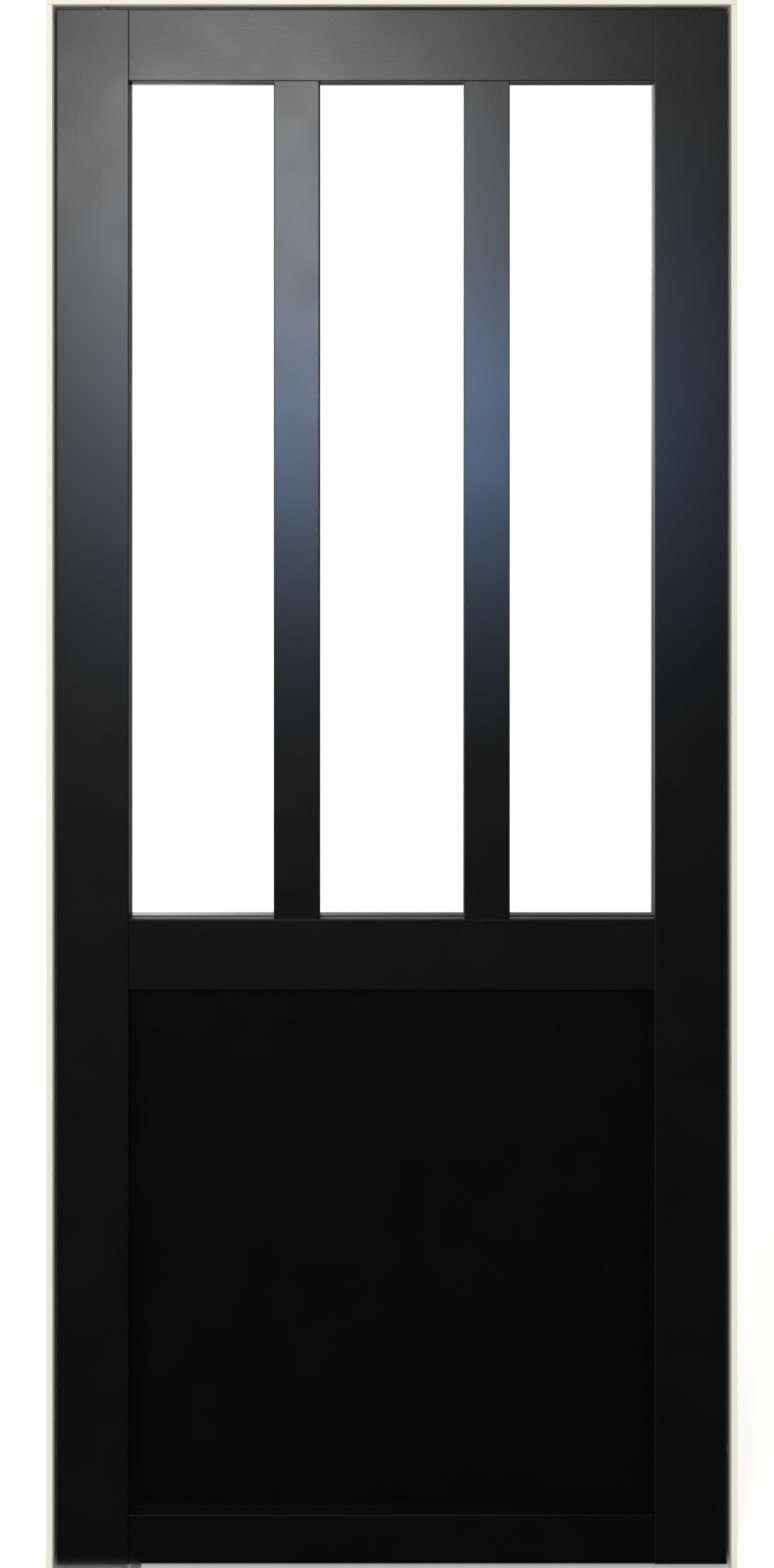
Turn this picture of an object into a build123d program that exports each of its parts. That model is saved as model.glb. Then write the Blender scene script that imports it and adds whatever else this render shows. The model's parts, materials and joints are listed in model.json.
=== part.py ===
from build123d import *
import math
import os

# Half-glazed stile-and-rail door leaf that swings both ways on two pivots, in a slim frame of flat bar.
# Millimetres. X runs across the doorway, Y through it with the front at -Y, and Z up from the floor.
# The origin is on the floor, midway between the jambs and in the middle of the frame's depth.

# Leaf
LEAF_WIDTH = 880.0
LEAF_HEIGHT = 2040.0
LEAF_THICKNESS = 40.0
STILE_WIDTH = 95.0
TOP_RAIL_HEIGHT = 94.0
MIDDLE_RAIL_HEIGHT = 93.0
MIDDLE_RAIL_TOP = 846.0  # its upper edge above the leaf's lower edge
BOTTOM_RAIL_HEIGHT = 64.0
MUNTIN_WIDTH = 60.0
ARRIS = 1.0  # chamfer along the leaf's edges
RAIL_SETBACK = 1.2  # how far the rails and muntins lie behind the stiles' faces, which draws the joints

# Glazing, from the front: lip, rubber, glass, rubber, bead
LIP_THICKNESS = 14.0
REBATE_WIDTH = 12.0
GLASS_THICKNESS = 4.0
GLASS_ARRIS = 0.6
GASKET_WALL = 1.5
GASKET_LEG = 8.0  # how far the rubber reaches over the glass
GASKET_CLEARANCE = 0.4  # between the rubber and the rebate
BEAD_CLEARANCE = 0.15  # between a bead and the rebate
BEAD_CHAMFER = 2.0

# Lower panel
PANEL_THICKNESS = 12.0
GROOVE_DEPTH = 12.0
PANEL_EDGE_CLEARANCE = 1.0
PANEL_FACE_CLEARANCE = 0.1

# Dowels
RAIL_DOWEL_DIAMETER = 10.0
RAIL_DOWEL_LENGTH = 80.0
MUNTIN_DOWEL_DIAMETER = 8.0
MUNTIN_DOWEL_LENGTH = 50.0
DOWEL_CLEARANCE = 0.1
DOWEL_END_CLEARANCE = 1.0

# Pivots
SHOE_LAND = 4.0  # timber between a shoe and the stile's inner edge
PIN_DIAMETER = 12.0
PIN_REACH = 12.0  # how far a pin goes into its socket
PIN_CLEARANCE = 0.05
PIN_SEAT_CLEARANCE = 0.01
PIN_FLANGE_DIAMETER = 18.0
PIN_FLANGE_THICKNESS = 2.0
PIN_CHAMFER = 1.0
SOCKET_END_CLEARANCE = 1.0
SHOE_LENGTH = 62.0
SHOE_WIDTH = 26.0
SHOE_PLATE = 4.0
SHOE_BOSS_DIAMETER = 22.0
SHOE_DEPTH = 16.0
SHOE_CLEARANCE = 0.1
SHOE_SCREW_OFFSET = 22.0
THRUST_WASHER_DIAMETER = 24.0
THRUST_WASHER_THICKNESS = 3.0
THRUST_WASHER_CLEARANCE = 0.1
THRUST_CLEARANCE = 0.1
HEEL_CLEARANCE = 0.75  # least room between the swinging edge and the left jamb

# Frame
BAR_THICKNESS = 8.0
BAR_DEPTH = 60.0
BAR_ROUND = 1.0
HEAD_GAP = 4.0
FLOOR_PLATE_THICKNESS = 5.0
FLOOR_PLATE_REACH = 50.0  # past the pivot axis
FLOOR_PLATE_ROUND = 8.0

# Fixing holes for the wall and the floor
FIXING_HOLE_DIAMETER = 6.5
FIXING_SINK_DIAMETER = 13.0
JAMB_FIXING_OUTER = 150.0  # from each end of the doorway's clear height
JAMB_FIXING_INNER = 700.0
HEAD_FIXING_OFFSET = 250.0
FLOOR_FIXING_INSET = 15.0  # from the floor plate's free end
FLOOR_FIXING_SPACING = 36.0

# Screws
FRAME_SCREW_DIAMETER = 3.0
FRAME_SCREW_HEAD = 6.0
FRAME_SCREW_LENGTH = 20.0
FRAME_SCREW_SPACING = 36.0
SHOE_SCREW_DIAMETER = 3.5
SHOE_SCREW_HEAD = 7.0
SHOE_SCREW_LENGTH = 16.0
SHOE_SCREW_POINT = 4.0
SCREW_CLEARANCE = 0.05

OVERRUN = 2.0  # how far a cut runs past the face that it opens
DOWEL_PLACE_SHARES = (0.25, 0.75)  # of the sound timber in a rail's height
LIGHT_NAMES = ("left", "middle", "right")
MUNTIN_NAMES = ("left", "right")

# The leaf's planes
half_thickness = LEAF_THICKNESS / 2
half_rail = half_thickness - RAIL_SETBACK
leaf_left = -LEAF_WIDTH / 2
leaf_right = LEAF_WIDTH / 2
leaf_bottom = FLOOR_PLATE_THICKNESS + THRUST_WASHER_THICKNESS + THRUST_CLEARANCE
leaf_top = leaf_bottom + LEAF_HEIGHT
inner_left = leaf_left + STILE_WIDTH
inner_right = leaf_right - STILE_WIDTH
light_bottom = leaf_bottom + MIDDLE_RAIL_TOP
light_top = leaf_top - TOP_RAIL_HEIGHT
panel_bottom = leaf_bottom + BOTTOM_RAIL_HEIGHT
panel_top = light_bottom - MIDDLE_RAIL_HEIGHT
light_width = (inner_right - inner_left - len(MUNTIN_NAMES) * MUNTIN_WIDTH) / len(LIGHT_NAMES)
light_starts = [inner_left + n * (light_width + MUNTIN_WIDTH) for n in range(len(LIGHT_NAMES))]
lights = [(start, start + light_width) for start in light_starts]

# The glazing's planes through the leaf's thickness
rebate_face = LIP_THICKNESS - half_thickness
glass_front = rebate_face + GASKET_WALL
glass_back = glass_front + GLASS_THICKNESS
bead_front = glass_back + GASKET_WALL
stem_middle = (rebate_face + half_rail) / 2

# The frame's planes
pivot_inset = STILE_WIDTH - SHOE_LAND - SHOE_LENGTH / 2
pivot_x = leaf_left + pivot_inset
heel_reach = max(
    math.hypot(pivot_inset, half_thickness - ARRIS),
    math.hypot(pivot_inset - ARRIS, half_thickness),
)  # from the axis to the furthest point of the stile's eased edge
side_gap = heel_reach - pivot_inset + HEEL_CLEARANCE
jamb_inner = LEAF_WIDTH / 2 + side_gap
jamb_outer = jamb_inner + BAR_THICKNESS
jamb_middle = (jamb_inner + jamb_outer) / 2
head_bottom = leaf_top + HEAD_GAP
head_top = head_bottom + BAR_THICKNESS
half_depth = BAR_DEPTH / 2
plate_end = pivot_x + FLOOR_PLATE_REACH


def block(low, high):
    """A box between two opposite corners."""
    middle = [(a + b) / 2 for a, b in zip(low, high)]
    return Pos(*middle) * Box(*(b - a for a, b in zip(low, high)))


def rod(radius, low, high):
    """An upright cylinder on the Z axis between two heights."""
    return Pos(0, 0, (low + high) / 2) * Cylinder(radius, high - low)


def sunk_hole(head_diameter, hole_diameter, depth):
    """The cut for a countersunk screw that goes down from the origin."""
    sink = (head_diameter - hole_diameter) / 2
    cone = Cone(hole_diameter / 2, head_diameter / 2 + OVERRUN, sink + OVERRUN)
    return Pos(0, 0, (OVERRUN - sink) / 2) * cone + rod(hole_diameter / 2, -depth, -sink)


def sunk_screw(head_diameter, diameter, length, point):
    """A countersunk screw that goes down from the origin and tapers over its point, if it has one."""
    sink = (head_diameter - diameter) / 2
    outline = Polyline(
        (0, 0),
        (head_diameter / 2, 0),
        (diameter / 2, -sink),
        (diameter / 2, point - length),
        (0, -length),
        close=True,
    )
    return revolve(Plane.XZ * make_face(outline), Axis.Z)


# Leaf timber


def rebate(x_low, x_high):
    """The cut behind the front lip that takes the rubber, the glass and the beads."""
    low = (x_low - REBATE_WIDTH, rebate_face, light_bottom - REBATE_WIDTH)
    high = (x_high + REBATE_WIDTH, half_thickness + OVERRUN, light_top + REBATE_WIDTH)
    return block(low, high)


def panel_groove():
    """The slot round the lower opening that the panel floats in."""
    half_slot = PANEL_THICKNESS / 2 + PANEL_FACE_CLEARANCE
    low = (inner_left - GROOVE_DEPTH, -half_slot, panel_bottom - GROOVE_DEPTH)
    high = (inner_right + GROOVE_DEPTH, half_slot, panel_top + GROOVE_DEPTH)
    return block(low, high)


def rail_spans():
    """For each rail, bottom to top, the heights between which its end grain is sound for dowels."""
    return (
        (leaf_bottom + SHOE_DEPTH, panel_bottom - GROOVE_DEPTH),
        (panel_top + GROOVE_DEPTH, light_bottom - REBATE_WIDTH),
        (light_top + REBATE_WIDTH, leaf_top - SHOE_DEPTH),
    )


def dowel_hole(diameter, length):
    """The hole for one dowel, through both of the timbers that it joins."""
    return Cylinder(diameter / 2 + DOWEL_CLEARANCE, length + 2 * DOWEL_END_CLEARANCE)


def rail_dowel_places(spans, edges):
    """Where dowels lie across the stile joints, for the given rails and stile edges."""
    return [
        Pos(x, 0, low + share * (high - low)) * Rot(0, 90, 0)
        for low, high in spans
        for share in DOWEL_PLACE_SHARES
        for x in edges
    ]


def muntin_middles():
    """The middle of each muntin, left to right."""
    return [(left[1] + right[0]) / 2 for left, right in zip(lights, lights[1:])]


def muntin_dowel_places(heights):
    """Where dowels stand in the muntins' ends, at the given joint heights."""
    return [Pos(x, stem_middle, z) for x in muntin_middles() for z in heights]


def stile(edge, inner, light):
    """A full-height upright between its outer edge and its inner edge, beside one light."""
    low = (min(edge, inner), -half_thickness, leaf_bottom)
    high = (max(edge, inner), half_thickness, leaf_top)
    bar = block(low, high)
    bar = chamfer(bar.edges().filter_by(Axis.Y, reverse=True), ARRIS)
    hole = dowel_hole(RAIL_DOWEL_DIAMETER, RAIL_DOWEL_LENGTH)
    holes = [place * hole for place in rail_dowel_places(rail_spans(), (inner,))]
    return bar - [rebate(*light), panel_groove(), *holes]


def left_stile():
    """The stile that the leaf turns about, with a pocket in each end for a pivot shoe."""
    pockets = [place * shoe_pocket() for place in (bottom_place, top_place)]
    return stile(leaf_left, inner_left, lights[0]) - pockets


def rail(bottom, top, span):
    """A crosspiece between the stiles, with its long edges eased."""
    bar = block((inner_left, -half_rail, bottom), (inner_right, half_rail, top))
    bar = chamfer(bar.edges().filter_by(Axis.X), ARRIS)
    hole = dowel_hole(RAIL_DOWEL_DIAMETER, RAIL_DOWEL_LENGTH)
    return bar - [place * hole for place in rail_dowel_places((span,), (inner_left, inner_right))]


def glazed_rail(bottom, top, span, joint_height):
    """A rail beside the glass, with its rebate and the holes for the muntins' dowels."""
    hole = dowel_hole(MUNTIN_DOWEL_DIAMETER, MUNTIN_DOWEL_LENGTH)
    holes = [place * hole for place in muntin_dowel_places((joint_height,))]
    return rail(bottom, top, span) - [rebate(inner_left, inner_right), *holes]


def muntin(left_light, right_light):
    """An upright between two lights, whose narrow stem laps into the rails' rebates."""
    left, right = left_light[1], right_light[0]
    stem_low, stem_high = light_bottom - REBATE_WIDTH, light_top + REBATE_WIDTH
    bar = block((left, -half_rail, stem_low), (right, half_rail, stem_high))
    bar = chamfer(bar.edges().filter_by(Axis.Z), ARRIS)
    laps = [
        block((left - OVERRUN, -half_thickness - OVERRUN, low), (right + OVERRUN, rebate_face, high))
        for low, high in ((stem_low - OVERRUN, light_bottom), (light_top, stem_high + OVERRUN))
    ]
    hole = dowel_hole(MUNTIN_DOWEL_DIAMETER, MUNTIN_DOWEL_LENGTH)
    holes = [
        Pos((left + right) / 2, stem_middle, height) * hole
        for height in (stem_low, stem_high)
    ]
    return bar - [rebate(*left_light), rebate(*right_light), *laps, *holes]


def lower_panel():
    """The flat board that floats in the groove round the lower opening."""
    reach = GROOVE_DEPTH - PANEL_EDGE_CLEARANCE
    low = (inner_left - reach, -PANEL_THICKNESS / 2, panel_bottom - reach)
    high = (inner_right + reach, PANEL_THICKNESS / 2, panel_top + reach)
    return block(low, high)


# Glazing


def glazing_block(light, inset, front, back):
    """A box that stands inset from the rebate all round one light, between two planes of the leaf."""
    reach = REBATE_WIDTH - inset
    low = (light[0] - reach, front, light_bottom - reach)
    high = (light[1] + reach, back, light_top + reach)
    return block(low, high)


def pane(light):
    """One sheet of glass with seamed edges."""
    sheet = glazing_block(light, GASKET_CLEARANCE + GASKET_WALL, glass_front, glass_back)
    return chamfer(sheet.edges(), GLASS_ARRIS)


def gasket(light):
    """A U of rubber round the edge of one pane."""
    ring = glazing_block(light, GASKET_CLEARANCE, rebate_face, bead_front)
    seat = glazing_block(light, GASKET_CLEARANCE + GASKET_WALL, glass_front, glass_back)
    sight = GASKET_CLEARANCE + GASKET_WALL + GASKET_LEG
    window = glazing_block(light, sight, rebate_face - OVERRUN, bead_front + OVERRUN)
    return ring - seat - window


def beads(light):
    """The four mitred beads behind one pane, flush with the backs of the rails and muntins."""
    reach = REBATE_WIDTH - BEAD_CLEARANCE
    outer = [
        (light[0] - reach, light_bottom - reach),
        (light[1] + reach, light_bottom - reach),
        (light[1] + reach, light_top + reach),
        (light[0] - reach, light_top + reach),
    ]
    inner = [
        (light[0], light_bottom),
        (light[1], light_bottom),
        (light[1], light_top),
        (light[0], light_top),
    ]
    made = {}
    for n, side in enumerate(("bottom", "right", "top", "left")):
        after = (n + 1) % len(outer)
        corners = (outer[n], outer[after], inner[after], inner[n])
        face = make_face(Polyline(*((x, bead_front, z) for x, z in corners), close=True))
        bead = extrude(face, half_rail - bead_front, (0, 1, 0))
        sight_middle = [(a + b) / 2 for a, b in zip(inner[n], inner[after])]
        sight_edge = bead.edges().sort_by_distance((sight_middle[0], half_rail, sight_middle[1]))[0]
        made[side] = chamfer(sight_edge, BEAD_CHAMFER)
    return made


# Pivots, each fitting made as at the leaf's lower end


def pivot_shoe():
    """A socket on a round-ended plate, let up into the end of the stile from the origin's plane."""
    plate = extrude(SlotOverall(SHOE_LENGTH, SHOE_WIDTH), SHOE_PLATE)
    boss = rod(SHOE_BOSS_DIAMETER / 2, 0, SHOE_DEPTH)
    bore = rod(PIN_DIAMETER / 2 + PIN_CLEARANCE, -OVERRUN, PIN_REACH + SOCKET_END_CLEARANCE)
    hole = sunk_hole(
        SHOE_SCREW_HEAD + 2 * SCREW_CLEARANCE,
        SHOE_SCREW_DIAMETER + 2 * SCREW_CLEARANCE,
        SHOE_PLATE + OVERRUN,
    )
    return plate + boss - [bore, *(place * hole for place in shoe_screw_places())]


def shoe_pocket():
    """The pocket in the stile's end for one shoe, with pilot holes for its screws."""
    slot = SlotOverall(SHOE_LENGTH + 2 * SHOE_CLEARANCE, SHOE_WIDTH + 2 * SHOE_CLEARANCE)
    plate = Pos(0, 0, -OVERRUN) * extrude(slot, OVERRUN + SHOE_PLATE)
    boss = rod(SHOE_BOSS_DIAMETER / 2 + SHOE_CLEARANCE, 0, SHOE_DEPTH + SHOE_CLEARANCE)
    pilot = rod(SHOE_SCREW_DIAMETER / 2 + SCREW_CLEARANCE, -SHOE_SCREW_LENGTH - SCREW_CLEARANCE, 0)
    return plate + [boss, *(place * pilot for place in shoe_screw_places())]


def shoe_screw_places():
    """Where the two screws of a shoe point up into the stile."""
    return [Pos(x, 0, 0) * Rot(180, 0, 0) for x in (-SHOE_SCREW_OFFSET, SHOE_SCREW_OFFSET)]


def shoe_screw():
    """One wood screw of a shoe."""
    return sunk_screw(SHOE_SCREW_HEAD, SHOE_SCREW_DIAMETER, SHOE_SCREW_LENGTH, SHOE_SCREW_POINT)


def pivot_pin(carrier, gap):
    """A flanged pin that stands in a carrier of that thickness, up across the gap and into a socket."""
    pin = rod(PIN_DIAMETER / 2, 0, carrier + gap + PIN_REACH)
    pin = chamfer(pin.edges().sort_by(Axis.Z)[-1], PIN_CHAMFER)
    return pin + rod(PIN_FLANGE_DIAMETER / 2, 0, PIN_FLANGE_THICKNESS)


def pin_seat(carrier):
    """The stepped hole for a pin in a carrier of that thickness."""
    hole = rod(PIN_DIAMETER / 2 + PIN_SEAT_CLEARANCE, -OVERRUN, carrier + OVERRUN)
    return hole + rod(PIN_FLANGE_DIAMETER / 2 + PIN_SEAT_CLEARANCE, -OVERRUN, PIN_FLANGE_THICKNESS)


def thrust_washer():
    """The washer round the bottom pin that the leaf's weight rests on."""
    bore_radius = PIN_DIAMETER / 2 + THRUST_WASHER_CLEARANCE
    disc = rod(THRUST_WASHER_DIAMETER / 2, 0, THRUST_WASHER_THICKNESS)
    return disc - rod(bore_radius, -OVERRUN, THRUST_WASHER_THICKNESS + OVERRUN)


# Frame


def fixing_hole(thickness):
    """A countersunk hole through a bar or plate for a wall or floor screw."""
    return sunk_hole(FIXING_SINK_DIAMETER, FIXING_HOLE_DIAMETER, thickness + OVERRUN)


def frame_screw_places(side, height, turn):
    """The pair of screws in one end of a jamb, set at a height and turned to point into it."""
    return [
        Pos(side * jamb_middle, y, height) * Rot(turn, 0, 0)
        for y in (-FRAME_SCREW_SPACING / 2, FRAME_SCREW_SPACING / 2)
    ]


def head_screw_places():
    """The screws that go down through the head into both jambs."""
    return frame_screw_places(-1, head_top, 0) + frame_screw_places(1, head_top, 0)


def foot_screw_places():
    """The screws that go up through the floor plate into the left jamb."""
    return frame_screw_places(-1, 0, 180)


def frame_screw():
    """One machine screw of the frame, with a flat end."""
    return sunk_screw(FRAME_SCREW_HEAD, FRAME_SCREW_DIAMETER, FRAME_SCREW_LENGTH, 0)


def frame_screw_hole():
    """The cut for one such screw, through the bar or plate and on into the jamb."""
    return sunk_hole(
        FRAME_SCREW_HEAD + 2 * SCREW_CLEARANCE,
        FRAME_SCREW_DIAMETER + 2 * SCREW_CLEARANCE,
        FRAME_SCREW_LENGTH + SCREW_CLEARANCE,
    )


def flat_bar(low, high, along):
    """A length of flat bar with rounded edges."""
    piece = block(low, high)
    return fillet(piece.edges().filter_by(along), BAR_ROUND)


def jamb(side, foot, screw_places):
    """One upright of the frame on its foot, with wall fixings down its inner face."""
    x_low, x_high = sorted((side * jamb_inner, side * jamb_outer))
    piece = flat_bar((x_low, -half_depth, foot), (x_high, half_depth, head_bottom), Axis.Z)
    heights = (
        JAMB_FIXING_OUTER,
        JAMB_FIXING_INNER,
        head_bottom - JAMB_FIXING_INNER,
        head_bottom - JAMB_FIXING_OUTER,
    )
    hole = Rot(0, -side * 90, 0) * fixing_hole(BAR_THICKNESS)
    holes = [Pos(side * jamb_inner, 0, height) * hole for height in heights]
    return piece - [*holes, *(place * frame_screw_hole() for place in screw_places)]


def head():
    """The bar across the top, which carries the top pin."""
    piece = flat_bar((-jamb_outer, -half_depth, head_bottom), (jamb_outer, half_depth, head_top), Axis.X)
    hole = Rot(180, 0, 0) * fixing_hole(BAR_THICKNESS)
    holes = [Pos(x, 0, head_bottom) * hole for x in (-HEAD_FIXING_OFFSET, HEAD_FIXING_OFFSET)]
    screws = [place * frame_screw_hole() for place in head_screw_places()]
    return piece - [*holes, *screws, head_place * pin_seat(BAR_THICKNESS)]


def floor_plate():
    """The plate on the floor under the left jamb, which carries the bottom pin."""
    piece = block((-jamb_outer, -half_depth, 0), (plate_end, half_depth, FLOOR_PLATE_THICKNESS))
    corners = piece.edges().filter_by(Axis.Z).sort_by(Axis.X)[-2:]
    piece = fillet(corners, FLOOR_PLATE_ROUND)
    holes = [
        Pos(plate_end - FLOOR_FIXING_INSET, y, FLOOR_PLATE_THICKNESS) * fixing_hole(FLOOR_PLATE_THICKNESS)
        for y in (-FLOOR_FIXING_SPACING / 2, FLOOR_FIXING_SPACING / 2)
    ]
    screws = [place * frame_screw_hole() for place in foot_screw_places()]
    return piece - [*holes, *screws, floor_place * pin_seat(FLOOR_PLATE_THICKNESS)]


# Where the pivots' fittings stand: the upper ones hang upside down
bottom_place = Pos(pivot_x, 0, leaf_bottom)
top_place = Pos(pivot_x, 0, leaf_top) * Rot(180, 0, 0)
floor_place = Pos(pivot_x, 0, 0)
head_place = Pos(pivot_x, 0, head_top) * Rot(180, 0, 0)

bottom_span, middle_span, top_span = rail_spans()
joint_heights = (light_bottom - REBATE_WIDTH, light_top + REBATE_WIDTH)  # where the muntins' stems end
all_edges = (inner_left, inner_right)
nodes = {
    "left_stile": left_stile(),
    "right_stile": stile(leaf_right, inner_right, lights[-1]),
    "top_rail": glazed_rail(light_top, leaf_top, top_span, joint_heights[1]),
    "middle_rail": glazed_rail(panel_top, light_bottom, middle_span, joint_heights[0]) - panel_groove(),
    "bottom_rail": rail(leaf_bottom, panel_bottom, bottom_span) - panel_groove(),
    "lower_panel": lower_panel(),
    "top_pivot_shoe": top_place * pivot_shoe(),
    "bottom_pivot_shoe": bottom_place * pivot_shoe(),
    "top_pivot_pin": head_place * pivot_pin(BAR_THICKNESS, HEAD_GAP),
    "bottom_pivot_pin": floor_place * pivot_pin(FLOOR_PLATE_THICKNESS, leaf_bottom - FLOOR_PLATE_THICKNESS),
    "thrust_washer": Pos(pivot_x, 0, FLOOR_PLATE_THICKNESS) * thrust_washer(),
    "left_jamb": jamb(-1, FLOOR_PLATE_THICKNESS, head_screw_places() + foot_screw_places()),
    "right_jamb": jamb(1, 0, head_screw_places()),
    "head": head(),
    "floor_plate": floor_plate(),
}
for name, left_light, right_light in zip(MUNTIN_NAMES, lights, lights[1:]):
    nodes[f"{name}_muntin"] = muntin(left_light, right_light)
for name, light in zip(LIGHT_NAMES, lights):
    nodes[f"{name}_pane"] = pane(light)
    nodes[f"{name}_gasket"] = gasket(light)
    for side, bead in beads(light).items():
        nodes[f"{name}_{side}_bead"] = bead

rail_dowel = Cylinder(RAIL_DOWEL_DIAMETER / 2, RAIL_DOWEL_LENGTH)
muntin_dowel = Cylinder(MUNTIN_DOWEL_DIAMETER / 2, MUNTIN_DOWEL_LENGTH)
groups = {
    "rail_dowels": [place * rail_dowel for place in rail_dowel_places(rail_spans(), all_edges)],
    "muntin_dowels": [place * muntin_dowel for place in muntin_dowel_places(joint_heights)],
    "shoe_screws": [
        end * place * shoe_screw()
        for end in (bottom_place, top_place)
        for place in shoe_screw_places()
    ],
    "frame_screws": [place * frame_screw() for place in head_screw_places() + foot_screw_places()],
}
for name, pieces in groups.items():
    nodes[name] = Compound([solid for piece in pieces for solid in piece.solids()])

os.makedirs("parts", exist_ok=True)
for name, shape in nodes.items():
    export_step(shape, f"parts/{name}.step")
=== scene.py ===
import json
import math

import bmesh
import bpy
from mathutils import Matrix, Vector


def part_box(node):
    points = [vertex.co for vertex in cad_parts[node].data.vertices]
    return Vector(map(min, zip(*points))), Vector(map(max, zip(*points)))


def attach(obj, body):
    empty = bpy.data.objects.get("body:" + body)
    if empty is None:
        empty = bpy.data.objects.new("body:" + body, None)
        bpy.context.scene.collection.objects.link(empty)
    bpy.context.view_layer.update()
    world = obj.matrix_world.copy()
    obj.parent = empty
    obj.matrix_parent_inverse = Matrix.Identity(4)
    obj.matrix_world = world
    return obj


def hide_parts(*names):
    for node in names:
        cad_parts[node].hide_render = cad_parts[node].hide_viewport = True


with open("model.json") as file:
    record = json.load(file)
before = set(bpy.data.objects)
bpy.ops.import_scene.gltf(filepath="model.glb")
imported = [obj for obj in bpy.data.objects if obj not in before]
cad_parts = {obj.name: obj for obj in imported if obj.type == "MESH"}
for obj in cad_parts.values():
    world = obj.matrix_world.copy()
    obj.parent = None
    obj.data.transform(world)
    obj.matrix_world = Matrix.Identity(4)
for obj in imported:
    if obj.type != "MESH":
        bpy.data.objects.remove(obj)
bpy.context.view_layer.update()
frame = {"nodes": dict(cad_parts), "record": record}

# Half-glazed black timber door leaf on pivots in a slim cream frame, shown square on in a white studio.
# Metres, in the model's own frame: X across the doorway, the front at -Y, Z up from the floor.

MM = 0.001
nodes = frame["nodes"]
OPENINGS = ("left", "middle", "right")  # the three that are glazed

# Where the leaf stands in the photograph, in pixels of its full frame
PHOTO_WIDTH = 1011
PHOTO_HEIGHT = 2048
LEAF_LEFT_PX = 73.6
LEAF_RIGHT_PX = 949.9
LEAF_TOP_PX = 12.0
HORIZON_PX = 530.0

# Camera
VIEW_DISTANCE = 2.44  # from the leaf's front
SENSOR_MM = 36.0

# Panel lights: a white key and a bluish sky behind the camera, and a soft one behind the door
KEY_PLACE = (-0.433, 2.238)  # middle, across and up
KEY_SIZE = (0.749, 0.766)
KEY_RADIANCE = 26.5
SKY_PLACE = (0.022, 1.519)
SKY_SIZE = (0.62, 0.169)
SKY_RADIANCE = 172.0
SKY_BEAM = math.radians(8.3)  # half the angle that it is held to
BACK_PLACE = (-1.1, 1.9)
BACK_SIZE = (1.2, 1.2)
BACK_RADIANCE = 4.0
FRONT_DISTANCE = 3.0  # of the key and the sky from the middle of the leaf
BACK_DISTANCE = 3.0

# Levels of the light that comes from all round
WHITE_LEVEL = 1.35  # of the backdrop, a little over white so that it stays white through the glass
FILL_LEVEL = 0.32  # on matt surfaces, from the sides and below
OVERHEAD_LEVEL = 1.2  # on matt surfaces, from straight above
RIGHT_LEVEL = 0.5  # on matt surfaces, besides, from the right, which the key leaves in shade
GLOOM_LEVEL = 0.015  # in gloss, from the unlit part of the room
WINDOW_LEVEL = 1.6  # in gloss, from a window far to the left
CORNER_LEVEL = 1.0  # in gloss, from the front left corner, which only slanting views mirror
GROUND_LEVEL = 0.1  # in gloss, from straight below, which the undersides of edges mirror
BACKDROP_LEVELS = (0.8, 0.45)  # in gloss, from the backdrop, left and right
LOW_SHARE = 0.2  # of the corner's and the backdrop's light that is left low down

# Where that light changes: the axis of the direction that is looked in, where on it the change starts and
# ends, and the level, or the share of a level, before and after
SOFT_STEPS = {
    "behind": ("Y", 0.0, 0.4, 0.0, 1.0),
    "above": ("Z", -0.2, 0.05, 0.0, 1.0),
    "window": ("X", -0.45, -0.9, GLOOM_LEVEL, WINDOW_LEVEL),
    "corner_across": ("X", -0.45, -0.65, 0.0, 1.0),
    "corner_out": ("Y", -0.25, -0.5, 0.0, 1.0),
    "corner": ("Z", -0.65, -0.15, LOW_SHARE * CORNER_LEVEL, CORNER_LEVEL),
    "ground": ("Z", -0.7, -0.9, GLOOM_LEVEL, GROUND_LEVEL),
    "backdrop_down": ("Z", -0.5, -0.1, LOW_SHARE, 1.0),
}
EVEN_SLOPES = {
    "backdrop_across": ("X", -0.15, 0.15, *BACKDROP_LEVELS),
    "overhead": ("Z", 0.0, 1.0, FILL_LEVEL, OVERHEAD_LEVEL),
    "on_right": ("X", 0.0, 1.0, 0.0, RIGHT_LEVEL),
}

# Floor
FLOOR_RADIUS = 2.3
FLOOR_FADE = 1.2  # width of the rim over which the floor gives way to white
FLOOR_GLOW = 0.2  # light from under the floor, which keeps it pale

# Black paint
UPRIGHT_GRAIN_MM = (5.0, 5.0, 240.0)  # size of a streak along X, Y and Z
CROSS_GRAIN_MM = (240.0, 5.0, 5.0)
BOARD_GRAIN_MM = (14.0, 14.0, 14.0)
TIMBER_SHADES = ("#050505", "#070707")
# darker and, with BOARD_GLOSS, duller than the timber's paint, so the recessed panel reads darker than the
# frame round it
BOARD_SHADES = ("#040404", "#060606")
TIMBER_GLOSS = 0.5  # how strongly it mirrors, where 0.5 is usual for paint
# duller copy for the bottom rail: painted shade, so that it mirrors less light low down
LOW_RAIL_SHADE_GLOSS = 0.3
BOARD_GLOSS = 0.25

SCREW_HEAD_RADIUS = 3.0 * MM


def linear(colour):
    """The linear RGBA of an sRGB hex value."""
    channels = [int(colour[n:n + 2], 16) / 255 for n in (1, 3, 5)]
    return [c / 12.92 if c <= 0.04045 else ((c + 0.055) / 1.055) ** 2.4 for c in channels] + [1.0]


def add_node(tree, kind, inputs=(), **settings):
    """Adds a node with its settings. An input given as a socket is linked, and any other value is set."""
    node = tree.nodes.new(kind)
    for name, value in settings.items():
        setattr(node, name, value)
    for name, value in dict(inputs).items():
        if isinstance(value, bpy.types.NodeSocket):
            tree.links.new(value, node.inputs[name])
        else:
            node.inputs[name].default_value = value
    return node


def new_material(name):
    """An empty node material: returns it, its tree and the socket of the object's own coordinates."""
    material = bpy.data.materials.new(name)
    material.use_nodes = True
    tree = material.node_tree
    tree.nodes.clear()
    place = add_node(tree, "ShaderNodeTexCoord").outputs["Object"]
    return material, tree, place


def finish_material(tree, inputs):
    """Adds the surface shader with its inputs and the output."""
    shader = add_node(tree, "ShaderNodeBsdfPrincipled", inputs)
    add_node(tree, "ShaderNodeOutputMaterial", {"Surface": shader.outputs["BSDF"]})


# Materials


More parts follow.
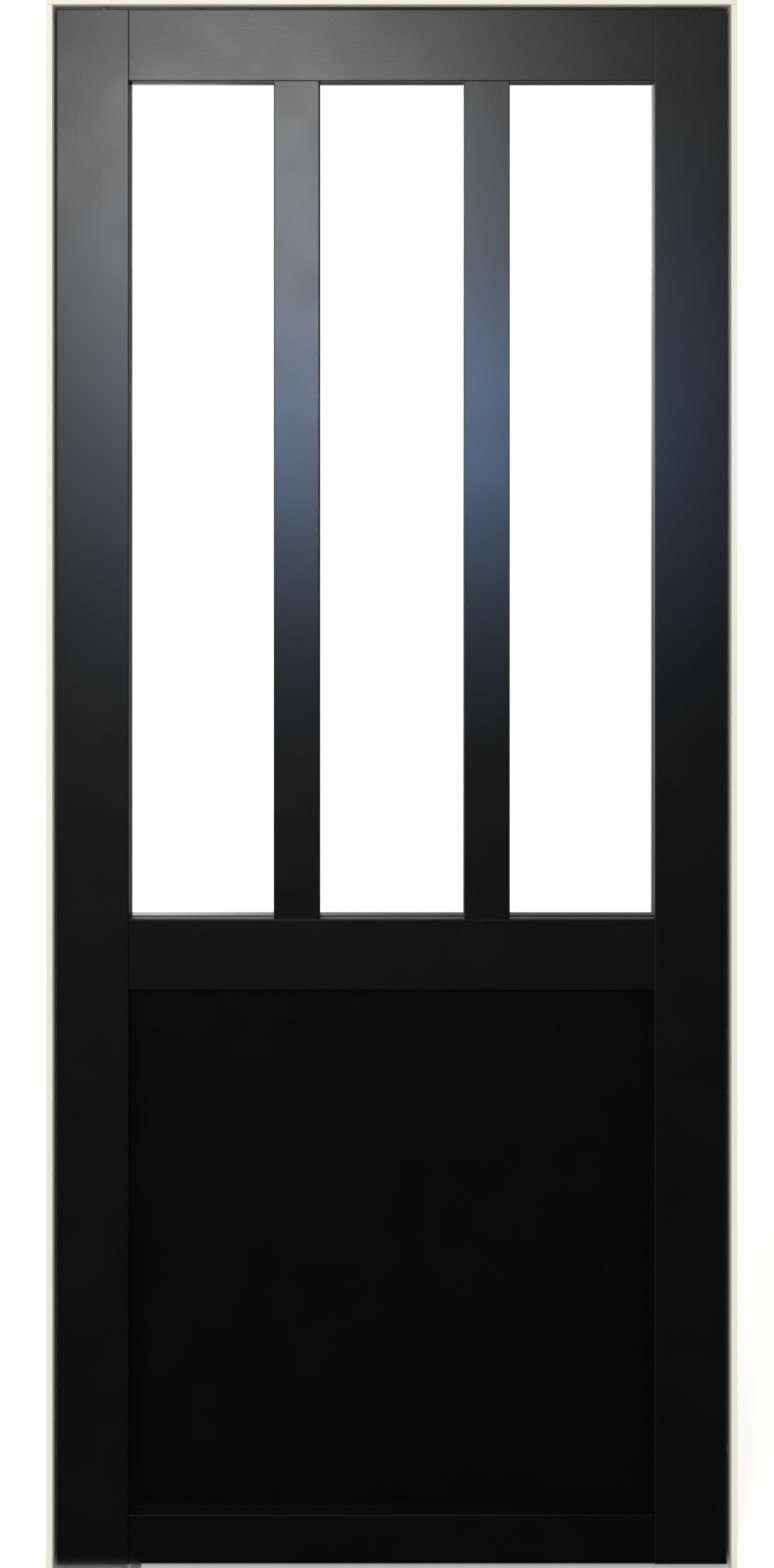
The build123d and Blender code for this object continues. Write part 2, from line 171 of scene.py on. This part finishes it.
def satin_black_paint(name, grain_mm, shades, gloss_level):
    """Black satin paint sprayed on timber: a soft wide sheen, faint orange peel, and a hint of grain."""
    material, tree, place = new_material(name)
    peel_mm = 5.0  # drawn coarser than real, so that it shows
    peel_share = 0.45  # of the relief, where the rest is grain
    relief_mm = 0.06
    cloud_mm = 70.0
    film_mm = 0.8  # how far the paint rounds over an edge
    fine = add_node(
        tree, "ShaderNodeMapping", {"Vector": place, "Scale": [1 / (size * MM) for size in grain_mm]}
    )
    grain = add_node(
        tree, "ShaderNodeTexNoise", {"Vector": fine.outputs["Vector"], "Scale": 1.0, "Detail": 3.0}
    )
    peel = add_node(
        tree, "ShaderNodeTexNoise", {"Vector": place, "Scale": 1 / (peel_mm * MM), "Detail": 1.0}
    )
    cloud = add_node(
        tree, "ShaderNodeTexNoise", {"Vector": place, "Scale": 1 / (cloud_mm * MM), "Detail": 2.0}
    )
    relief = add_node(
        tree,
        "ShaderNodeMix",
        {"Factor": peel_share, "A": grain.outputs["Fac"], "B": peel.outputs["Fac"]},
    )
    rounded = add_node(tree, "ShaderNodeBevel", {"Radius": film_mm * MM}, samples=4)
    bump = add_node(
        tree,
        "ShaderNodeBump",
        {
            "Height": relief.outputs["Result"],
            "Strength": 1.0,
            "Distance": relief_mm * MM,
            "Normal": rounded.outputs["Normal"],
        },
    )
    tone = add_node(
        tree,
        "ShaderNodeMix",
        {"Factor": cloud.outputs["Fac"], "A": linear(shades[0]), "B": linear(shades[1])},
        data_type="RGBA",
    )
    roughness = add_node(
        tree, "ShaderNodeMapRange", {"Value": cloud.outputs["Fac"], "To Min": 0.34, "To Max": 0.41}
    )
    finish_material(tree, {
        "Base Color": tone.outputs["Result"],
        "Roughness": roughness.outputs["Result"],
        "Specular IOR Level": gloss_level,
        "Normal": bump.outputs["Normal"],
    })
    return material


def cream_powder_coat():
    """Cream powder coat baked on steel bar: matt, with a fine leathery texture."""
    material, tree, place = new_material("cream_powder_coat")
    texture_mm = 1.6  # drawn coarser than real, so that it shows
    relief_mm = 0.03
    cloud_mm = 90.0
    grit = add_node(
        tree, "ShaderNodeTexNoise", {"Vector": place, "Scale": 1 / (texture_mm * MM), "Detail": 2.0}
    )
    cloud = add_node(tree, "ShaderNodeTexNoise", {"Vector": place, "Scale": 1 / (cloud_mm * MM)})
    tone = add_node(
        tree,
        "ShaderNodeMix",
        {"Factor": cloud.outputs["Fac"], "A": linear("#dfdaca"), "B": linear("#e2decf")},
        data_type="RGBA",
    )
    bump = add_node(
        tree, "ShaderNodeBump", {"Height": grit.outputs["Fac"], "Strength": 1.0, "Distance": relief_mm * MM}
    )
    roughness = add_node(
        tree, "ShaderNodeMapRange", {"Value": grit.outputs["Fac"], "To Min": 0.5, "To Max": 0.62}
    )
    finish_material(tree, {
        "Base Color": tone.outputs["Result"],
        "Roughness": roughness.outputs["Result"],
        "Specular IOR Level": 0.3,
        "Normal": bump.outputs["Normal"],
    })
    return material


def clear_toughened_glass():
    """Clear toughened float: water-white face on, with the faint roller wave that toughening leaves."""
    material, tree, place = new_material("clear_toughened_glass")
    wave_mm = 280.0
    relief_mm = 0.05
    wave = add_node(
        tree,
        "ShaderNodeTexWave",
        {"Vector": place, "Scale": 1 / (wave_mm * MM), "Distortion": 0.6, "Detail": 0.0},
        bands_direction="Z",
    )
    bump = add_node(
        tree, "ShaderNodeBump", {"Height": wave.outputs["Fac"], "Strength": 1.0, "Distance": relief_mm * MM}
    )
    finish_material(tree, {
        "Base Color": linear("#fbfefc"),
        "Roughness": 0.0,
        "IOR": 1.52,
        "Transmission Weight": 1.0,
        "Normal": bump.outputs["Normal"],
    })
    return material


def black_glazing_rubber():
    """Extruded black rubber: dull, with a fine uneven skin."""
    material, tree, place = new_material("black_glazing_rubber")
    skin_mm = 1.2
    relief_mm = 0.04
    skin = add_node(
        tree, "ShaderNodeTexNoise", {"Vector": place, "Scale": 1 / (skin_mm * MM), "Detail": 2.0}
    )
    bump = add_node(
        tree, "ShaderNodeBump", {"Height": skin.outputs["Fac"], "Strength": 1.0, "Distance": relief_mm * MM}
    )
    tone = add_node(
        tree,
        "ShaderNodeMix",
        {"Factor": skin.outputs["Fac"], "A": linear("#0e0e0e"), "B": linear("#161616")},
        data_type="RGBA",
    )
    finish_material(tree, {
        "Base Color": tone.outputs["Result"],
        "Roughness": 0.7,
        "Specular IOR Level": 0.3,
        "Normal": bump.outputs["Normal"],
    })
    return material


def bare_beech():
    """Bare beech: pale tan, with short darker flecks along the grain."""
    material, tree, place = new_material("bare_beech")
    fleck_mm = (14.0, 1.0, 1.0)
    along = add_node(
        tree, "ShaderNodeMapping", {"Vector": place, "Scale": [1 / (size * MM) for size in fleck_mm]}
    )
    fleck = add_node(
        tree, "ShaderNodeTexNoise", {"Vector": along.outputs["Vector"], "Scale": 1.0, "Detail": 4.0}
    )
    tone = add_node(
        tree,
        "ShaderNodeMix",
        {"Factor": fleck.outputs["Fac"], "A": linear("#b98a5c"), "B": linear("#d8b184")},
        data_type="RGBA",
    )
    finish_material(tree, {"Base Color": tone.outputs["Result"], "Roughness": 0.6})
    return material


def turned_brass():
    """Machined brass: warm metal, unevenly bright from the cutter's fine marks."""
    material, tree, place = new_material("turned_brass")
    mark_mm = 0.8
    marks = add_node(
        tree, "ShaderNodeTexNoise", {"Vector": place, "Scale": 1 / (mark_mm * MM), "Detail": 2.0}
    )
    roughness = add_node(
        tree, "ShaderNodeMapRange", {"Value": marks.outputs["Fac"], "To Min": 0.22, "To Max": 0.42}
    )
    tone = add_node(
        tree,
        "ShaderNodeMix",
        {"Factor": marks.outputs["Fac"], "A": linear("#b68d45"), "B": linear("#cfaa63")},
        data_type="RGBA",
    )
    finish_material(tree, {
        "Base Color": tone.outputs["Result"],
        "Metallic": 1.0,
        "Roughness": roughness.outputs["Result"],
    })
    return material


def zinc_plated_steel():
    """Zinc plate on steel, dulled by its passivation: a cool pale grey metal with a faint mottle."""
    material, tree, place = new_material("zinc_plated_steel")
    mottle_mm = 6.0
    mottle = add_node(
        tree, "ShaderNodeTexVoronoi", {"Vector": place, "Scale": 1 / (mottle_mm * MM)}, feature="SMOOTH_F1"
    )
    roughness = add_node(
        tree, "ShaderNodeMapRange", {"Value": mottle.outputs["Distance"], "To Min": 0.35, "To Max": 0.5}
    )
    tone = add_node(
        tree,
        "ShaderNodeMix",
        {"Factor": mottle.outputs["Distance"], "A": linear("#b4b8bd"), "B": linear("#c9cbce")},
        data_type="RGBA",
    )
    finish_material(tree, {
        "Base Color": tone.outputs["Result"],
        "Metallic": 0.6,
        "Roughness": roughness.outputs["Result"],
    })
    return material


def natural_nylon():
    """Natural nylon, turned from rod: waxy off-white."""
    material, tree, place = new_material("natural_nylon")
    haze_mm = 3.0
    haze = add_node(tree, "ShaderNodeTexNoise", {"Vector": place, "Scale": 1 / (haze_mm * MM)})
    tone = add_node(
        tree,
        "ShaderNodeMix",
        {"Factor": haze.outputs["Fac"], "A": linear("#d9d5c8"), "B": linear("#e4e1d6")},
        data_type="RGBA",
    )
    finish_material(tree, {"Base Color": tone.outputs["Result"], "Roughness": 0.42})
    return material


upright_paint = satin_black_paint(
    "satin_black_on_upright_timber", UPRIGHT_GRAIN_MM, TIMBER_SHADES, TIMBER_GLOSS
)
cross_paint = satin_black_paint("satin_black_on_cross_timber", CROSS_GRAIN_MM, TIMBER_SHADES, TIMBER_GLOSS)
# painted shade: a duller copy of the paint, for the bottom rail
shaded_low_paint = satin_black_paint("shade_dulled_black_on_cross_timber", CROSS_GRAIN_MM, TIMBER_SHADES, LOW_RAIL_SHADE_GLOSS)
board_paint = satin_black_paint("satin_black_on_board", BOARD_GRAIN_MM, BOARD_SHADES, BOARD_GLOSS)
finishes = {
    "clear_glass": clear_toughened_glass(),
    "glazing_rubber": black_glazing_rubber(),
    "beech": bare_beech(),
    "brass": turned_brass(),
    "zinc_steel": zinc_plated_steel(),
    "nylon": natural_nylon(),
    "cream_coat": cream_powder_coat(),
}


def paint_for(name):
    """The black paint for a piece of timber, by its grain; the lowest rail gets a duller copy as painted
    shade.
    """
    if name == "lower_panel":
        return board_paint
    if name == "bottom_rail":
        return shaded_low_paint
    crosswise = name.endswith(("_rail", "_top_bead", "_bottom_bead"))
    return cross_paint if crosswise else upright_paint


for subpart in frame["record"]["subparts"]:
    name, slot = subpart["node"], subpart["material_slot"]
    for holder in nodes[name].material_slots:
        holder.material = finishes[slot] if slot in finishes else paint_for(name)

for opening in OPENINGS:
    nodes[f"{opening}_pane"].visible_shadow = False  # clear glass lets the soft light through


# Small pieces


def new_piece(name, bm, material, body):
    """Turns a bmesh into a piece that rides on a body."""
    bmesh.ops.recalc_face_normals(bm, faces=bm.faces)
    mesh = bpy.data.meshes.new(name)
    bm.to_mesh(mesh)
    bm.free()
    mesh.materials.append(material)
    piece = bpy.data.objects.new(name, mesh)
    bpy.context.scene.collection.objects.link(piece)
    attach(piece, body)
    return piece


def bead_pins():
    """The filled heads of the panel pins that hold the glazing beads, a hair proud of the beads' backs."""
    head_radius = 1.3 * MM
    rim_radius = 1.0 * MM
    sunk = 0.3 * MM
    proud = 0.12 * MM
    end_inset = 45 * MM
    spacing = 170 * MM
    segments = 14
    facing_back = Matrix.Rotation(-math.pi / 2, 4, "X")
    bm = bmesh.new()
    for opening in OPENINGS:
        for side in ("bottom", "right", "top", "left"):
            low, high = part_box(f"{opening}_{side}_bead")
            along = 0 if side in ("bottom", "top") else 2
            run = high[along] - low[along] - 2 * end_inset
            count = max(1, round(run / spacing))
            for n in range(count + 1):
                spot = (low + high) / 2
                spot[along] = low[along] + end_inset + run * n / count
                spot.y = high.y + (proud - sunk) / 2
                bmesh.ops.create_cone(
                    bm,
                    cap_ends=True,
                    segments=segments,
                    radius1=head_radius,
                    radius2=rim_radius,
                    depth=sunk + proud,
                    matrix=Matrix.Translation(spot) @ facing_back,
                )
    new_piece("bead_pins", bm, board_paint, "leaf")


def socket_screw(bm, place):
    """One countersunk screw with a hexagon socket, pointing down from its place."""
    shank_radius = 1.5 * MM
    length = 20.0 * MM
    key_across = 2.0 * MM
    key_depth = 1.2 * MM
    segments = 24
    sixth = math.pi / 3
    turns = [2 * math.pi * n / segments for n in range(segments)]
    hexagon = [key_across / 2 / math.cos(turn % sixth - sixth / 2) for turn in turns]
    head = [SCREW_HEAD_RADIUS] * segments
    shank = [shank_radius] * segments
    rings = []
    for radii, depth in (
        (hexagon, key_depth),
        (hexagon, 0),
        (head, 0),
        (shank, SCREW_HEAD_RADIUS - shank_radius),
        (shank, length),
    ):
        rings.append([
            bm.verts.new(place @ Vector((radius * math.cos(turn), radius * math.sin(turn), -depth)))
            for turn, radius in zip(turns, radii)
        ])
    for ring, next_ring in zip(rings, rings[1:]):
        for n in range(segments):
            bm.faces.new((ring[n - 1], ring[n], next_ring[n], next_ring[n - 1]))
    bm.faces.new(rings[0])
    bm.faces.new(rings[-1])


def frame_screws():
    """The screws at the frame's corners and under its foot, with their sockets."""
    low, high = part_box("frame_screws")
    half_spacing = high.y - SCREW_HEAD_RADIUS
    down = Matrix.Identity(4)
    up = Matrix.Rotation(math.pi, 4, "X")
    bm = bmesh.new()
    for x, z, turn in (
        (low.x + SCREW_HEAD_RADIUS, high.z, down),
        (high.x - SCREW_HEAD_RADIUS, high.z, down),
        (low.x + SCREW_HEAD_RADIUS, low.z, up),
    ):
        for y in (-half_spacing, half_spacing):
            socket_screw(bm, Matrix.Translation((x, y, z)) @ turn)
    piece = new_piece("socket_screws", bm, finishes["zinc_steel"], "frame")
    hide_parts("frame_screws")


bead_pins()
frame_screws()


# Stage


def pale_floor():
    """A round pale floor that fades to white at its rim."""
    material, tree, place = new_material("pale_studio_floor")
    segments = 96
    reach = add_node(tree, "ShaderNodeVectorMath", {0: place}, operation="LENGTH")
    fade = add_node(
        tree,
        "ShaderNodeMapRange",
        {"Value": reach.outputs["Value"], "From Min": FLOOR_RADIUS - FLOOR_FADE, "From Max": FLOOR_RADIUS},
        interpolation_type="SMOOTHSTEP",
    )
    matt = add_node(tree, "ShaderNodeBsdfDiffuse", {"Color": linear("#e6e5e2")})
    glow = add_node(tree, "ShaderNodeEmission", {"Color": linear("#ffffff"), "Strength": FLOOR_GLOW})
    pale = add_node(tree, "ShaderNodeAddShader", {0: matt.outputs["BSDF"], 1: glow.outputs["Emission"]})
    clear = add_node(tree, "ShaderNodeBsdfTransparent")
    blend = add_node(
        tree,
        "ShaderNodeMixShader",
        {0: fade.outputs["Result"], 1: pale.outputs["Shader"], 2: clear.outputs["BSDF"]},
    )
    add_node(tree, "ShaderNodeOutputMaterial", {"Surface": blend.outputs["Shader"]})
    bm = bmesh.new()
    bmesh.ops.create_circle(bm, cap_ends=True, segments=segments, radius=FLOOR_RADIUS)
    mesh = bpy.data.meshes.new("studio_floor")
    bm.to_mesh(mesh)
    bm.free()
    mesh.materials.append(material)
    floor = bpy.data.objects.new("studio_floor", mesh)
    bpy.context.scene.collection.objects.link(floor)
    floor.visible_glossy = False


def panel_light(name, place, size, radiance, colour, distance, side, beam=None):
    """A flat rectangular light square to the leaf, open or held to a beam, in front at -1 or behind at 1."""
    light = bpy.data.lights.new(name, "AREA")
    light.shape = "RECTANGLE"
    light.size, light.size_y = size
    light.energy = radiance * math.pi * size[0] * size[1]
    if beam:
        light.spread = 2 * beam
        light.energy *= beam ** 2 / 3  # the same power in a narrow beam is 3 / beam ** 2 times as bright
    light.color = linear(colour)[:3]
    lamp = bpy.data.objects.new(name, light)
    lamp.location = (place[0], side * distance, place[1])
    lamp.rotation_euler = (-side * math.pi / 2, 0, 0)
    lamp.visible_camera = False
    lamp.visible_transmission = False
    bpy.context.scene.collection.objects.link(lamp)
    return lamp


def keep_off_glass(lamps):
    """Screens lights from the panes, which would mirror them in specks along their edges."""
    screened = bpy.data.collections.new("screened_panes")
    for lamp in lamps:
        lamp.light_linking.receiver_collection = screened
    for opening in OPENINGS:
        screened.objects.link(nodes[f"{opening}_pane"])
    for member in screened.collection_objects:
        member.light_linking.link_state = "EXCLUDE"


def studio_world():
    """White to look at, a fill that is strongest from above for matt surfaces, and for gloss a dim room."""
    world = bpy.data.worlds.new("studio")
    bpy.context.scene.world = world
    world.use_nodes = True
    world.cycles.sampling_method = "NONE"  # a light sample would reach it with its last bounce uncounted
    tree = world.node_tree
    tree.nodes.clear()
    path = add_node(tree, "ShaderNodeLightPath").outputs
    way = add_node(tree, "ShaderNodeTexCoord").outputs["Generated"]
    part = add_node(tree, "ShaderNodeSeparateXYZ", {"Vector": way}).outputs
    level = {}
    for change, rows in (("SMOOTHSTEP", SOFT_STEPS), ("LINEAR", EVEN_SLOPES)):
        for name, (axis, start, end, before, after) in rows.items():
            level[name] = add_node(
                tree,
                "ShaderNodeMapRange",
                {"Value": part[axis], "From Min": start, "From Max": end, "To Min": before, "To Max": after},
                interpolation_type=change,
            ).outputs["Result"]
    for name, first, second, operation in (
        ("backdrop", "backdrop_across", "backdrop_down", "MULTIPLY"),
        ("corner_share", "corner_across", "corner_out", "MULTIPLY"),
        ("fill", "overhead", "on_right", "ADD"),
    ):
        level[name] = add_node(
            tree, "ShaderNodeMath", {0: level[first], 1: level[second]}, operation=operation
        ).outputs["Value"]
    level["white"] = WHITE_LEVEL
    level["mirrored"] = path["Glossy Depth"]  # counts bounces, and a mix takes any above 0 as the whole
    level["scattered"] = path["Diffuse Depth"]
    for name, share, first, second in (
        ("low_front", "corner_share", "ground", "corner"),
        ("front", "above", "low_front", "window"),
        ("room", "behind", "front", "backdrop"),
        ("seen", "mirrored", "white", "room"),
        ("all", "scattered", "seen", "fill"),
    ):
        level[name] = add_node(
            tree, "ShaderNodeMix", {"Factor": level[share], "A": level[first], "B": level[second]}
        ).outputs["Result"]
    shine = add_node(tree, "ShaderNodeBackground", {"Color": linear("#ffffff"), "Strength": level["all"]})
    add_node(tree, "ShaderNodeOutputWorld", {"Surface": shine.outputs["Background"]})


def photo_camera():
    """A level camera square to the leaf, shifted so that the leaf fills the photograph's frame."""
    leaf_low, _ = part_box("left_stile")
    _, leaf_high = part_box("right_stile")
    pixels_per_metre = (LEAF_RIGHT_PX - LEAF_LEFT_PX) / (leaf_high.x - leaf_low.x)
    data = bpy.data.cameras.new("photo_camera")
    data.sensor_width = SENSOR_MM
    data.lens = VIEW_DISTANCE * pixels_per_metre * SENSOR_MM / PHOTO_HEIGHT
    leaf_middle_px = (LEAF_LEFT_PX + LEAF_RIGHT_PX) / 2
    data.shift_x = (PHOTO_WIDTH / 2 - leaf_middle_px) / PHOTO_HEIGHT
    data.shift_y = (HORIZON_PX - PHOTO_HEIGHT / 2) / PHOTO_HEIGHT
    camera = bpy.data.objects.new("photo_camera", data)
    eye_height = leaf_high.z - (HORIZON_PX - LEAF_TOP_PX) / pixels_per_metre
    camera.location = (0, leaf_low.y - VIEW_DISTANCE, eye_height)
    camera.rotation_euler = (math.pi / 2, 0, 0)
    bpy.context.scene.collection.objects.link(camera)
    bpy.context.scene.camera = camera


pale_floor()
key = panel_light("key_panel", KEY_PLACE, KEY_SIZE, KEY_RADIANCE, "#ffffff", FRONT_DISTANCE, -1)
sky = panel_light("sky_panel", SKY_PLACE, SKY_SIZE, SKY_RADIANCE, "#8fbfff", FRONT_DISTANCE, -1, SKY_BEAM)
keep_off_glass([key, sky])
panel_light("back_panel", BACK_PLACE, BACK_SIZE, BACK_RADIANCE, "#ffffff", BACK_DISTANCE, 1)
studio_world()
photo_camera()
bpy.context.scene.view_settings.view_transform = "Standard"
